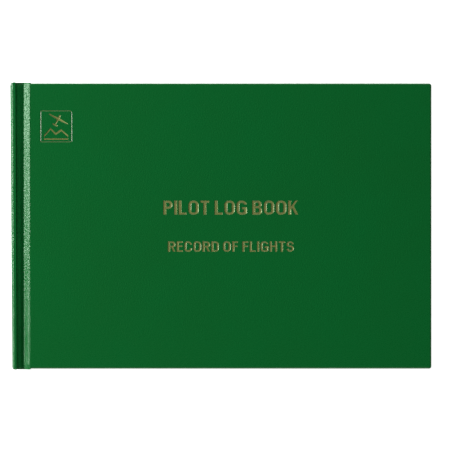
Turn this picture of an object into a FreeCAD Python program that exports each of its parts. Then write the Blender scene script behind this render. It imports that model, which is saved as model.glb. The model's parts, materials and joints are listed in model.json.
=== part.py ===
"""Landscape hard-cover pilot logbook, lying on its back cover with the spine at -X.

A case-bound book: two cloth-jointed boards, a stiff spine, eight sewn sections and
the loose leaves at both ends, which open with the covers. Millimetres, +Z up. The
origin is the middle of the footprint, on the surface that the book lies on.
"""

import FreeCAD, Part
import os

# Driving dimensions of the case
case_length = 221.0
case_height = 150.0
case_thickness = 13.2
spine_height = 151.0
skin = 0.3
board_thickness = 2.2
spine_board_thickness = 2.0
turn_in_width = 15.0
corner_radius = 1.2
joint_width = 10.3

# Driving dimensions of the text block
page_margin = 3.0
block_spine_gap = 3.3
leaf_thickness = 0.12
flyleaf_thickness = 0.15
leaf_gap = 0.03
cover_clearance = 0.05
section_count = 8
section_fold_radius = 0.3
leaf_hinge_margin = 10.2
bound_fold_end = 9.8
front_log_leaves = 4

# Endpapers, cloths and bands
pastedown_thickness = 0.15
mull_thickness = 0.2
mull_end_margin = 12.0
flange_width = 27.5
lining_thickness = 0.2
glue_thickness = 0.2
band_radius = 0.8
band_skirt = 5.0
groove_depth = 2.3
thread_width = 0.5
thread_stations = 6

# Foil blocking on the front cover
foil_thickness = 0.03
emblem_side = 16.9
emblem_line = 0.55
emblem_from_spine = 15.2
emblem_from_head = 14.2
title_length = 71.8
title_cap_height = 7.5
title_baseline = 69.1
title_letter_slots = 14
subtitle_length = 66.8
subtitle_cap_height = 5.6
subtitle_baseline = 88.6
subtitle_letter_slots = 17
letter_slot_fill = 0.86
foil_centre_x = 5.0
sailplane_turn = -35

# Derived places
spine_x = -case_length / 2
fore_edge_x = case_length / 2
board_x = spine_x + joint_width
cover_half = case_height / 2
page_half = cover_half - page_margin
page_end_x = fore_edge_x - page_margin
block_x = spine_x + block_spine_gap
cover_build = 2 * skin + board_thickness + pastedown_thickness
block_bottom = cover_build + cover_clearance
block_top = case_thickness - block_bottom
spine_turn_in_x = spine_x + skin + spine_board_thickness


def box(x0, x1, y0, y1, z0, z1):
    """A box from its low to its high limits."""
    corner = FreeCAD.Vector(x0, y0, z0)
    return Part.makeBox(x1 - x0, y1 - y0, z1 - z0, corner)


def centred_box(x0, x1, half_width, z0, z1):
    """A box that is centred across the book's height."""
    return box(x0, x1, -half_width, half_width, z0, z1)


def to_front(shape):
    """The same layer of the other cover: mirrored through the middle of the case."""
    middle = FreeCAD.Vector(0, 0, case_thickness / 2)
    return shape.mirror(middle, FreeCAD.Vector(0, 0, 1))


def fore_edge_corners(shape, x):
    """The upright edges of a shape at one fore-edge plane."""
    found = []
    for edge in shape.Edges:
        first = edge.Vertexes[0].Point
        last = edge.Vertexes[-1].Point
        upright = abs(first.z - last.z) > skin
        if upright and abs(first.x - x) < 1e-6 and abs(last.x - x) < 1e-6:
            found.append(edge)
    return found


def rounded_slab(x1, half_width, z0, z1, radius):
    """A slab from the joint to the fore-edge with both fore-edge corners rounded."""
    slab = centred_box(board_x, x1, half_width, z0, z1)
    return slab.makeFillet(radius, fore_edge_corners(slab, x1))


def back_board():
    """The greyboard of the back cover."""
    radius = corner_radius - skin
    return rounded_slab(fore_edge_x - skin, cover_half - skin, skin, skin + board_thickness, radius)


def back_cover_skin():
    """The leatherette that wraps the board, with its three turn-ins."""
    top = 2 * skin + board_thickness
    wrap = rounded_slab(fore_edge_x, cover_half, 0, top, corner_radius)
    window_x = fore_edge_x - turn_in_width
    window = centred_box(board_x, window_x, cover_half - turn_in_width, top - skin, top)
    return wrap.cut(back_board()).cut(window)


def front_cover_skin():
    """The front leatherette, pressed in by the foil blocking."""
    wrap = to_front(back_cover_skin())
    for foil in (emblem_foil(), title_foil(), subtitle_foil()):
        wrap = wrap.cut(foil)
    return wrap


def back_mull_flange():
    """The mull glued to the board between the head and tail turn-ins."""
    bottom = skin + board_thickness
    half = cover_half - turn_in_width - 0.2
    return centred_box(board_x + 0.1, board_x + flange_width, half, bottom, bottom + skin)


def back_pastedown():
    """The endpaper on the board: over turn-ins and flange, sunk between them."""
    low = skin + board_thickness
    high = low + skin
    top = high + pastedown_thickness
    wall = pastedown_thickness
    sink_x0 = board_x + flange_width + 0.1
    sink_x1 = fore_edge_x - turn_in_width - 0.1
    sink_half = cover_half - turn_in_width - 0.1
    sheet = centred_box(board_x + 0.1, page_end_x, page_half, high, top)
    sink = centred_box(sink_x0, sink_x1, sink_half, low, top)
    hollow = centred_box(sink_x0 + wall, sink_x1 - wall, sink_half - wall, low + wall, top)
    return sheet.fuse(sink).cut(hollow).removeSplitter()


def spine_board():
    """The stiff strip that keeps the spine flat."""
    half = spine_height / 2 - skin
    return centred_box(spine_x + skin, spine_turn_in_x, half, skin, case_thickness - skin)


def spine_skin():
    """The leatherette round the spine board, turned in at head and tail."""
    half = spine_height / 2
    wrap = centred_box(spine_x, spine_turn_in_x + skin, half, 0, case_thickness)
    inner = centred_box(spine_turn_in_x, spine_turn_in_x + skin, half - turn_in_width, skin, case_thickness - skin)
    return wrap.cut(spine_board()).cut(inner)


def groove_curve(drop):
    """The line of the cloth across one joint, lowered by a drop."""
    top = case_thickness - drop
    points = [
        FreeCAD.Vector(spine_turn_in_x + skin, 0, top),
        FreeCAD.Vector(spine_x + 3.7, 0, top - 0.25),
        FreeCAD.Vector(spine_x + 5.6, 0, top - groove_depth + 0.35),
        FreeCAD.Vector(spine_x + 6.7, 0, top - groove_depth),
        FreeCAD.Vector(spine_x + 7.9, 0, top - groove_depth + 0.35),
        FreeCAD.Vector(spine_x + 9.7, 0, top - 0.25),
        FreeCAD.Vector(board_x, 0, top),
    ]
    curve = Part.BSplineCurve()
    curve.interpolate(points)
    return curve.toShape()


def front_joint_skin():
    """The leatherette of the front joint, pressed down into the French groove."""
    outer = groove_curve(0)
    inner = groove_curve(skin)
    at_spine = Part.makeLine(outer.Vertexes[0].Point, inner.Vertexes[0].Point)
    at_board = Part.makeLine(outer.Vertexes[-1].Point, inner.Vertexes[-1].Point)
    section = Part.Face(Part.Wire([outer, at_board, inner, at_spine]))
    half = spine_height / 2
    section.translate(FreeCAD.Vector(0, -half, 0))
    return section.extrude(FreeCAD.Vector(0, 2 * half, 0))


def spine_lining():
    """The kraft strip behind the hollow back."""
    x0 = spine_x + 2.7
    return centred_box(x0, x0 + lining_thickness, page_half - 2, block_bottom, block_top)


def mull():
    """The open cloth over the folds, with its short flaps into both joints."""
    x0 = spine_x + 2.7 + lining_thickness
    x1 = x0 + mull_thickness
    half = page_half - mull_end_margin
    low = block_bottom - 0.1 - mull_thickness
    high = block_top + 0.1 + mull_thickness
    wall = centred_box(x0, x1, half, low, high)
    flap = centred_box(x0, spine_x + bound_fold_end, half, low, low + mull_thickness)
    return wall.fuse(flap).fuse(to_front(flap)).removeSplitter()


def thread_places():
    """The places along the spine of the sewing stations."""
    half = page_half - mull_end_margin - 6
    step = 2 * half / (thread_stations - 1)
    return [-half + step * number for number in range(thread_stations)]


def thread_stitch(y):
    """One row of stitches that links all the folds at one station."""
    x0 = block_x - glue_thickness
    half = thread_width / 2
    return box(x0, block_x, y - half, y + half, block_bottom + 0.4, block_top - 0.9)


def sewing_thread():
    """All the stitch rows on the spine."""
    return Part.makeCompound([thread_stitch(y) for y in thread_places()])


def spine_glue():
    """The glue line on the folds, open where the stitches lie."""
    half = page_half - mull_end_margin
    layer = centred_box(block_x - glue_thickness, block_x, half, block_bottom, block_top)
    for y in thread_places():
        layer = layer.cut(thread_stitch(y))
    return layer


def headband():
    """The striped band at the head: a bead past the leaves and its glued skirt."""
    low = block_bottom + 0.4
    length = block_top - low - 0.3
    bead_x = block_x + 0.3
    bead_y = page_half + band_radius + 0.1
    bead = Part.makeCylinder(band_radius, length, FreeCAD.Vector(bead_x, bead_y, low))
    skirt = box(block_x - 0.4, block_x - 0.1, page_half - band_skirt, bead_y, low, low + length)
    return bead.fuse(skirt).removeSplitter()


def tailband():
    """The same band at the tail."""
    return headband().mirror(FreeCAD.Vector(0, 0, 0), FreeCAD.Vector(0, 1, 0))


def front_leaf_layers():
    """The bottom height and thickness of each free leaf at the front, from the top down."""
    layers = []
    top = block_top
    for thickness in [flyleaf_thickness] + [leaf_thickness] * (front_log_leaves + 1):
        layers.append((top - thickness, thickness))
        top = top - thickness - leaf_gap
    return layers


def back_leaf_layers():
    """The same for the free leaves at the back, from the bottom up."""
    last_leaf_bottom = block_bottom + flyleaf_thickness + leaf_gap
    return [(block_bottom, flyleaf_thickness), (last_leaf_bottom, leaf_thickness)]


def leaf(layer):
    """The turning part of one leaf."""
    bottom, thickness = layer
    return centred_box(spine_x + leaf_hinge_margin, page_end_x, page_half, bottom, bottom + thickness)


def bound_folds(layers):
    """The bound edges of these leaves, which stay in the gutter."""
    strips = []
    for bottom, thickness in layers:
        strip = centred_box(block_x, spine_x + bound_fold_end, page_half, bottom, bottom + thickness)
        strips.append(strip)
    return Part.makeCompound(strips)


def section_limits():
    """The lowest and highest height of the stack of sewn sections."""
    back_bottom, back_thickness = back_leaf_layers()[-1]
    front_bottom, front_thickness = front_leaf_layers()[-1]
    return back_bottom + back_thickness + leaf_gap, front_bottom - leaf_gap


def section(number):
    """One folded and sewn section, rounded where its sheets fold."""
    low, high = section_limits()
    height = (high - low) / section_count
    bottom = low + height * number
    block = centred_box(block_x, page_end_x, page_half, bottom, bottom + height)
    folds = []
    for edge in block.Edges:
        first = edge.Vertexes[0].Point
        last = edge.Vertexes[-1].Point
        if abs(first.x - block_x) < 1e-6 and abs(first.y - last.y) > page_half:
            folds.append(edge)
    return block.makeFillet(section_fold_radius, folds)


def emblem_foil():
    """The square line and the sailplane seen from above inside it."""
    x0 = spine_x + emblem_from_spine
    y1 = cover_half - emblem_from_head
    z0 = case_thickness - foil_thickness
    z1 = case_thickness
    outer = box(x0, x0 + emblem_side, y1 - emblem_side, y1, z0, z1)
    inset = emblem_line
    inner = box(x0 + inset, x0 + emblem_side - inset, y1 - emblem_side + inset, y1 - inset, z0, z1)
    ring = outer.cut(inner)
    centre_x = x0 + emblem_side / 2
    centre_y = y1 - emblem_side / 2
    span = emblem_side * 0.78
    wing = box(-span / 2, span / 2, 0.3, 1.5, z0, z1)
    fuselage = box(-0.55, 0.55, -span * 0.42, span * 0.3, z0, z1)
    tail = box(-span * 0.16, span * 0.16, -span * 0.42, -span * 0.42 + 0.8, z0, z1)
    plane = wing.fuse(fuselage).fuse(tail).removeSplitter()
    plane.rotate(FreeCAD.Vector(0, 0, 0), FreeCAD.Vector(0, 0, 1), sailplane_turn)
    plane.translate(FreeCAD.Vector(centre_x, centre_y, 0))
    return Part.makeCompound([ring, plane])


def letter_row(length, cap_height, baseline, slots, blanks):
    """A row of letter-sized foil plates, centred on the panel, with word gaps."""
    pitch = length / slots
    y0 = cover_half - baseline
    z0 = case_thickness - foil_thickness
    plates = []
    for number in range(slots):
        if number in blanks:
            continue
        x0 = foil_centre_x - length / 2 + pitch * (number + (1 - letter_slot_fill) / 2)
        x1 = x0 + pitch * letter_slot_fill
        plates.append(box(x0, x1, y0, y0 + cap_height, z0, z0 + foil_thickness))
    return Part.makeCompound(plates)


def title_foil():
    """The title, in large capitals."""
    return letter_row(title_length, title_cap_height, title_baseline, title_letter_slots, (5, 9))


def subtitle_foil():
    """The second line, in smaller capitals."""
    row = (subtitle_length, subtitle_cap_height, subtitle_baseline, subtitle_letter_slots)
    return letter_row(*row, (6, 9))


def parts_list():
    """Every node's name and its solid."""
    parts = {
        "front_board": to_front(back_board()),
        "front_cover_skin": front_cover_skin(),
        "front_mull_flange": to_front(back_mull_flange()),
        "front_pastedown": to_front(back_pastedown()),
        "back_board": back_board(),
        "back_cover_skin": back_cover_skin(),
        "back_mull_flange": back_mull_flange(),
        "back_pastedown": back_pastedown(),
        "emblem_foil": emblem_foil(),
        "title_foil": title_foil(),
        "subtitle_foil": subtitle_foil(),
        "spine_board": spine_board(),
        "spine_skin": spine_skin(),
        "front_joint_skin": front_joint_skin(),
        "back_joint_skin": to_front(front_joint_skin()),
        "spine_lining": spine_lining(),
        "mull": mull(),
        "spine_glue": spine_glue(),
        "sewing_thread": sewing_thread(),
        "headband": headband(),
        "tailband": tailband(),
        "front_bound_folds": bound_folds(front_leaf_layers()),
        "back_bound_folds": bound_folds(back_leaf_layers()),
    }
    for number in range(section_count):
        parts["section_%d" % (number + 1)] = section(number)
    front_names = ["front_flyleaf", "title_leaf"]
    front_names += ["log_leaf_%d" % (number + 1) for number in range(front_log_leaves)]
    for name, layer in zip(front_names, front_leaf_layers()):
        parts[name] = leaf(layer)
    for name, layer in zip(["back_flyleaf", "last_leaf"], back_leaf_layers()):
        parts[name] = leaf(layer)
    return parts


os.makedirs("parts", exist_ok=True)
for name, shape in parts_list().items():
    shape.exportStep("parts/%s.step" % name)
    print(name, round(shape.Volume, 3), shape.isValid(), len(shape.Solids))
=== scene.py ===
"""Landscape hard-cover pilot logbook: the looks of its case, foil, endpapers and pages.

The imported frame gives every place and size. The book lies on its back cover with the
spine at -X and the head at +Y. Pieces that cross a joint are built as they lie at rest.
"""

import json
import logging
import math
import random
from collections.abc import Callable
from dataclasses import dataclass, field
from enum import Enum

import bmesh
import bpy
from mathutils import Matrix, Vector


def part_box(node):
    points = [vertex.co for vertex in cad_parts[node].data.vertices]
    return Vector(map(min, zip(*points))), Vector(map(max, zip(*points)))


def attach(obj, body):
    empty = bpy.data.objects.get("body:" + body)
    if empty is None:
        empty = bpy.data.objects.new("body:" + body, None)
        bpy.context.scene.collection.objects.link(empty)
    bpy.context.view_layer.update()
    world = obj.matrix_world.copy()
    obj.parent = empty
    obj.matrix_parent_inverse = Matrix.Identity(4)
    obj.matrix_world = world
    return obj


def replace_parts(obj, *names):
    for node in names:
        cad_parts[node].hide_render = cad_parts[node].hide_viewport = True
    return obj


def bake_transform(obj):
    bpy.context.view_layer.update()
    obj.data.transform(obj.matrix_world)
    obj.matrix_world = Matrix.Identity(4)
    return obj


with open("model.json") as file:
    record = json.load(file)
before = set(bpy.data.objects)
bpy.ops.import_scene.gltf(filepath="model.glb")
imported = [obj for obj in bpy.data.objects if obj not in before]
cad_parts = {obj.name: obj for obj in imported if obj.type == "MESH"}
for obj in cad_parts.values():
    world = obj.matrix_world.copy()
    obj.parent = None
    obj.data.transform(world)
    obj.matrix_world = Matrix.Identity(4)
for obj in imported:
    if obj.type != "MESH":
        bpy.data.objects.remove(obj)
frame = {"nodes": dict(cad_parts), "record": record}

MM = 0.001
UV_SPAN = 0.25
SHARP_ANGLE = math.radians(38)
TOUCHING = 1e-7
# A wave texture turns by this many radians per unit at a scale of 1.
WAVE_PHASE = 20.0
ROOT = "text_block"
HINGE_X = frame["record"]["behaviour"]["joints"][0]["pos_m"][0]

log = logging.getLogger("logbook")


class Side(Enum):
    """The two covers of the case."""

    FRONT = "front"
    BACK = "back"


class Coordinates(Enum):
    """What a pattern is fixed to."""

    OBJECT = "Object"
    UV = "UV"

    @property
    def span(self) -> float:
        """Return how many metres one unit of the coordinate measures."""
        return 1.0 if self is Coordinates.OBJECT else UV_SPAN


# ---------------------------------------------------------------- shared helpers


def linear(hex_colour: str) -> tuple[float, float, float, float]:
    """Turn an sRGB hex colour into linear light.

    Args:
        hex_colour: The colour as "#rrggbb".

    Returns:
        Linear red, green and blue, and an alpha of 1.
    """
    channels = [int(hex_colour[start : start + 2], 16) / 255 for start in (1, 3, 5)]
    low = [value / 12.92 for value in channels]
    high = [((value + 0.055) / 1.055) ** 2.4 for value in channels]
    mixed = [a if value <= 0.04045 else b for value, a, b in zip(channels, low, high)]
    return (*mixed, 1.0)


def add_node(tree: bpy.types.NodeTree, kind: str, inputs: dict | None = None, **settings) -> bpy.types.Node:
    """Add a node with its settings, and fill or link its inputs.

    Args:
        tree: The node tree.
        kind: The node's type name.
        inputs: Input name or number, to a value or to the socket that feeds it.
        **settings: Properties of the node.

    Returns:
        The new node.
    """
    node = tree.nodes.new(kind)
    for name, value in settings.items():
        setattr(node, name, value)
    for key, value in (inputs or {}).items():
        if isinstance(value, bpy.types.NodeSocket):
            tree.links.new(value, node.inputs[key])
        else:
            node.inputs[key].default_value = value
    return node


def start_material(name: str) -> tuple[bpy.types.Material, bpy.types.NodeTree, bpy.types.Node]:
    """Start a material with an empty tree, one Principled shader and its output.

    Args:
        name: The material's name.

    Returns:
        The material, its tree and the shader.
    """
    material = bpy.data.materials.new(name)
    material.use_nodes = True
    tree = material.node_tree
    tree.nodes.clear()
    shader = add_node(tree, "ShaderNodeBsdfPrincipled")
    add_node(tree, "ShaderNodeOutputMaterial", {"Surface": shader.outputs["BSDF"]})
    return material, tree, shader


def finish_piece(
    name: str,
    mesh_data: bmesh.types.BMesh,
    materials: list[bpy.types.Material],
    body: str | None,
    slot: str,
) -> bpy.types.Object:
    """Turn a bmesh into a named object with its finish.

    Args:
        name: The piece's name.
        mesh_data: The shape, in the frame's metres. It is freed.
        materials: The piece's materials, in the order of its face indices.
        body: The body that it rides on, or None for a piece left unattached.
        slot: The record's material slot; not used.

    Returns:
        The new object, at the origin.
    """
    for edge in mesh_data.edges:
        edge.smooth = edge.calc_face_angle(0.0) < SHARP_ANGLE
    for face in mesh_data.faces:
        face.smooth = True
    mesh = bpy.data.meshes.new(name)
    mesh_data.to_mesh(mesh)
    mesh_data.free()
    piece = bpy.data.objects.new(name, mesh)
    bpy.context.scene.collection.objects.link(piece)
    for material in materials:
        mesh.materials.append(material)
    if body is not None:
        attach(piece, body)
    log.info("%s: %d faces", name, len(mesh.polygons))
    return piece


def add_block(shape: bmesh.types.BMesh, low: Vector, high: Vector) -> None:
    """Add a box between two corners.

    Args:
        shape: The bmesh to add to.
        low: The lowest corner.
        high: The highest corner.
    """
    place = Matrix.Translation((low + high) / 2) @ Matrix.Diagonal((*(high - low), 1.0))
    bmesh.ops.create_cube(shape, size=1.0, matrix=place)


def add_sheet(
    shape: bmesh.types.BMesh,
    low: tuple[float, float],
    high: tuple[float, float],
    steps: tuple[int, int],
    height: Callable[[float, float], float],
    crowding: float = 1.0,
) -> None:
    """Add an open sheet over a rectangle, lifted to a height at every point.

    Args:
        shape: The bmesh to add to.
        low: The lowest x and y.
        high: The highest x and y.
        steps: How many strips it has along x and y.
        height: The sheet's z at an x and y.
        crowding: Above 1 crowds the strips towards the lowest x.
    """
    grid = bmesh.ops.create_grid(shape, x_segments=steps[0], y_segments=steps[1], size=0.5)
    for vert in grid["verts"]:
        along = (vert.co.x + 0.5) ** crowding
        x = low[0] + along * (high[0] - low[0])
        y = low[1] + (vert.co.y + 0.5) * (high[1] - low[1])
        vert.co = Vector((x, y, height(x, y)))


def thicken(shape: bmesh.types.BMesh, thickness: float) -> None:
    """Give an open sheet a wall, with every face pointing out.

    Args:
        shape: The bmesh that holds only the sheet.
        thickness: The wall, from the sheet downwards.
    """
    bmesh.ops.recalc_face_normals(shape, faces=shape.faces)
    upwards = sum(face.normal.z * face.calc_area() for face in shape.faces)
    if upwards < 0:
        bmesh.ops.reverse_faces(shape, faces=shape.faces)
    bmesh.ops.solidify(shape, geom=shape.faces[:], thickness=thickness)
    bmesh.ops.recalc_face_normals(shape, faces=shape.faces)


def turn_over(shape: bmesh.types.BMesh, middle: float) -> None:
    """Mirror a shape through a level plane, and point its faces out again.

    Args:
        shape: The bmesh.
        middle: The plane's z.
    """
    flip = Matrix.Translation((0, 0, 2 * middle)) @ Matrix.Diagonal((1, 1, -1, 1))
    bmesh.ops.transform(shape, matrix=flip, verts=shape.verts)
    bmesh.ops.recalc_face_normals(shape, faces=shape.faces)


def map_from_above(piece: bpy.types.Object) -> None:
    """Give a piece that bends a UV map of its flat place, so that its pattern bends with it.

    Args:
        piece: The piece at rest.
    """
    mesh = piece.data
    layer = mesh.uv_layers.new(name="flat")
    for loop in mesh.loops:
        point = mesh.vertices[loop.vertex_index].co
        layer.data[loop.index].uv = (point.x / UV_SPAN + 0.5, point.y / UV_SPAN + 0.5)


# ---------------------------------------------------------------- finishes


@dataclass(frozen=True)
class Leatherette:
    """Coated paper cloth, embossed with a fine leather grain and satin to the touch."""

    name: str = "embossed_leatherette"
    colour: str = "#0b5d25"
    pale: str = "#04632a"
    sheen: str = "#ffffff"
    grain_mm: float = 0.5
    grain_height_mm: float = 0.1
    shade_mm: float = 45.0
    roughness: float = 0.28
    gloss_play: float = 0.04
    specular: float = 0.35
    coordinates: Coordinates = Coordinates.OBJECT

    def make(self) -> bpy.types.Material:
        """Build the material.

        Returns:
            The material.
        """
        # The grain stands up as small rounded cells, which gives a soft, speckled sheen at a low light.
        material, tree, shader = start_material(self.name)
        span = self.coordinates.span
        place = add_node(tree, "ShaderNodeTexCoord").outputs[self.coordinates.value]
        cells = add_node(
            tree,
            "ShaderNodeTexVoronoi",
            {"Vector": place, "Scale": span / (self.grain_mm * MM), "Randomness": 1.0},
            feature="SMOOTH_F1",
        )
        creases = add_node(
            tree,
            "ShaderNodeTexNoise",
            {"Vector": place, "Scale": span / (1.4 * self.grain_mm * MM), "Detail": 2.0},
        )
        relief = add_node(
            tree,
            "ShaderNodeMath",
            {0: cells.outputs["Distance"], 1: -1.2, 2: creases.outputs["Fac"]},
            operation="MULTIPLY_ADD",
        )
        bump = add_node(
            tree,
            "ShaderNodeBump",
            {"Height": relief.outputs[0], "Strength": 0.6, "Distance": self.grain_height_mm * MM},
        )
        shade = add_node(
            tree,
            "ShaderNodeTexNoise",
            {"Vector": place, "Scale": span / (self.shade_mm * MM), "Detail": 4.0, "Roughness": 0.6},
        )
        colour = add_node(
            tree,
            "ShaderNodeMix",
            {0: shade.outputs["Fac"], 6: linear(self.colour), 7: linear(self.pale)},
            data_type="RGBA",
        )
        smooth, rough = self.roughness - self.gloss_play, self.roughness + self.gloss_play
        gloss = add_node(
            tree,
            "ShaderNodeMapRange",
            {0: cells.outputs["Distance"], 1: 0.0, 2: 0.8, 3: smooth, 4: rough},
        )
        tree.links.new(colour.outputs[2], shader.inputs["Base Color"])
        tree.links.new(gloss.outputs[0], shader.inputs["Roughness"])
        tree.links.new(bump.outputs[0], shader.inputs["Normal"])
        shader.inputs["Specular IOR Level"].default_value = self.specular
        shader.inputs["Specular Tint"].default_value = linear(self.sheen)
        return material


@dataclass(frozen=True)
class HotFoil:
    """Gold blocking foil, stamped into the grain and rubbed thin in places."""

    name: str = "hot_gold_foil"
    colour: str = "#7f854c"
    worn: str = "#586640"
    sheen: str = "#dfffd2"
    wear_mm: float = 1.1
    dent_mm: float = 0.01
    metallic: float = 0.15
    specular: float = 0.5
    roughness: float = 0.27

    def make(self) -> bpy.types.Material:
        """Build the material.

        Returns:
            The material.
        """
        # A thin metal film over the grain: bright, slightly broken, and duller where it has rubbed off.
        material, tree, shader = start_material(self.name)
        place = add_node(tree, "ShaderNodeTexCoord").outputs["Object"]
        rub = add_node(
            tree,
            "ShaderNodeTexNoise",
            {"Vector": place, "Scale": 1 / (self.wear_mm * MM), "Detail": 5.0, "Roughness": 0.65},
        )
        patches = add_node(
            tree,
            "ShaderNodeMapRange",
            {0: rub.outputs["Fac"], 1: 0.5, 2: 0.75, 3: 0.0, 4: 0.8},
        )
        colour = add_node(
            tree,
            "ShaderNodeMix",
            {0: patches.outputs[0], 6: linear(self.colour), 7: linear(self.worn)},
            data_type="RGBA",
        )
        bump = add_node(
            tree,
            "ShaderNodeBump",
            {"Height": rub.outputs["Fac"], "Strength": 0.35, "Distance": self.dent_mm * MM},
        )
        tree.links.new(colour.outputs[2], shader.inputs["Base Color"])
        tree.links.new(bump.outputs[0], shader.inputs["Normal"])
        shader.inputs["Metallic"].default_value = self.metallic
        shader.inputs["Specular IOR Level"].default_value = self.specular
        shader.inputs["Specular Tint"].default_value = linear(self.sheen)
        shader.inputs["Roughness"].default_value = self.roughness
        return material


@dataclass(frozen=True)
class Paper:
    """Uncoated paper, or pressed board: matt, with fibres and a faint cloudiness."""

    name: str
    colour: str
    cloud: str
    fibre_mm: float = 0.5
    fibre_height_mm: float = 0.01
    roughness: float = 0.85
    cloud_mm: float = 25.0
    coordinates: Coordinates = Coordinates.OBJECT

    def make(self) -> bpy.types.Material:
        """Build the material.

        Returns:
            The material.
        """
        # Felted fibres scatter light evenly, so there is no gloss, only a faint mottle.
        material, tree, shader = start_material(self.name)
        span = self.coordinates.span
        place = add_node(tree, "ShaderNodeTexCoord").outputs[self.coordinates.value]
        fibres = add_node(
            tree,
            "ShaderNodeTexNoise",
            {"Vector": place, "Scale": span / (self.fibre_mm * MM), "Detail": 4.0, "Distortion": 0.6},
        )
        clouds = add_node(
            tree, "ShaderNodeTexNoise", {"Vector": place, "Scale": span / (self.cloud_mm * MM), "Detail": 3.0}
        )
        colour = add_node(
            tree,
            "ShaderNodeMix",
            {0: clouds.outputs["Fac"], 6: linear(self.colour), 7: linear(self.cloud)},
            data_type="RGBA",
        )
        bump = add_node(
            tree,
            "ShaderNodeBump",
            {"Height": fibres.outputs["Fac"], "Strength": 0.4, "Distance": self.fibre_height_mm * MM},
        )
        tree.links.new(colour.outputs[2], shader.inputs["Base Color"])
        tree.links.new(bump.outputs[0], shader.inputs["Normal"])
        shader.inputs["Roughness"].default_value = self.roughness
        shader.inputs["Specular IOR Level"].default_value = 0.3
        return material


@dataclass(frozen=True)
class PageEdges:
    """The cut edges of many sheets: fine lines along the edge, some a little darker."""

    name: str = "trimmed_page_edges"
    colour: str = "#ebe6d6"
    dark: str = "#bdb39b"
    sheet_mm: float = 0.22

    def make(self) -> bpy.types.Material:
        """Build the material.

        Returns:
            The material.
        """
        # A guillotined edge shows each sheet as a hairline. The lines are drawn two sheets thick, to show.
        material, tree, shader = start_material(self.name)
        place = add_node(tree, "ShaderNodeTexCoord").outputs["Object"]
        stretched = add_node(
            tree,
            "ShaderNodeMapping",
            {"Vector": place, "Scale": (12.0, 12.0, 1 / (self.sheet_mm * MM))},
        )
        lines = add_node(
            tree,
            "ShaderNodeTexNoise",
            {"Vector": stretched.outputs[0], "Scale": 1.0, "Detail": 2.0, "Roughness": 0.7},
        )
        spread = add_node(
            tree,
            "ShaderNodeMapRange",
            {0: lines.outputs["Fac"], 1: 0.4, 2: 0.75, 3: 0.0, 4: 1.0},
        )
        colour = add_node(
            tree,
            "ShaderNodeMix",
            {0: spread.outputs[0], 6: linear(self.colour), 7: linear(self.dark)},
            data_type="RGBA",
        )
        bump = add_node(
            tree,
            "ShaderNodeBump",
            {"Height": lines.outputs["Fac"], "Strength": 0.5, "Distance": 0.05 * MM},
        )
        tree.links.new(colour.outputs[2], shader.inputs["Base Color"])
        tree.links.new(bump.outputs[0], shader.inputs["Normal"])
        shader.inputs["Roughness"].default_value = 0.9
        shader.inputs["Specular IOR Level"].default_value = 0.25
        return material


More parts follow.
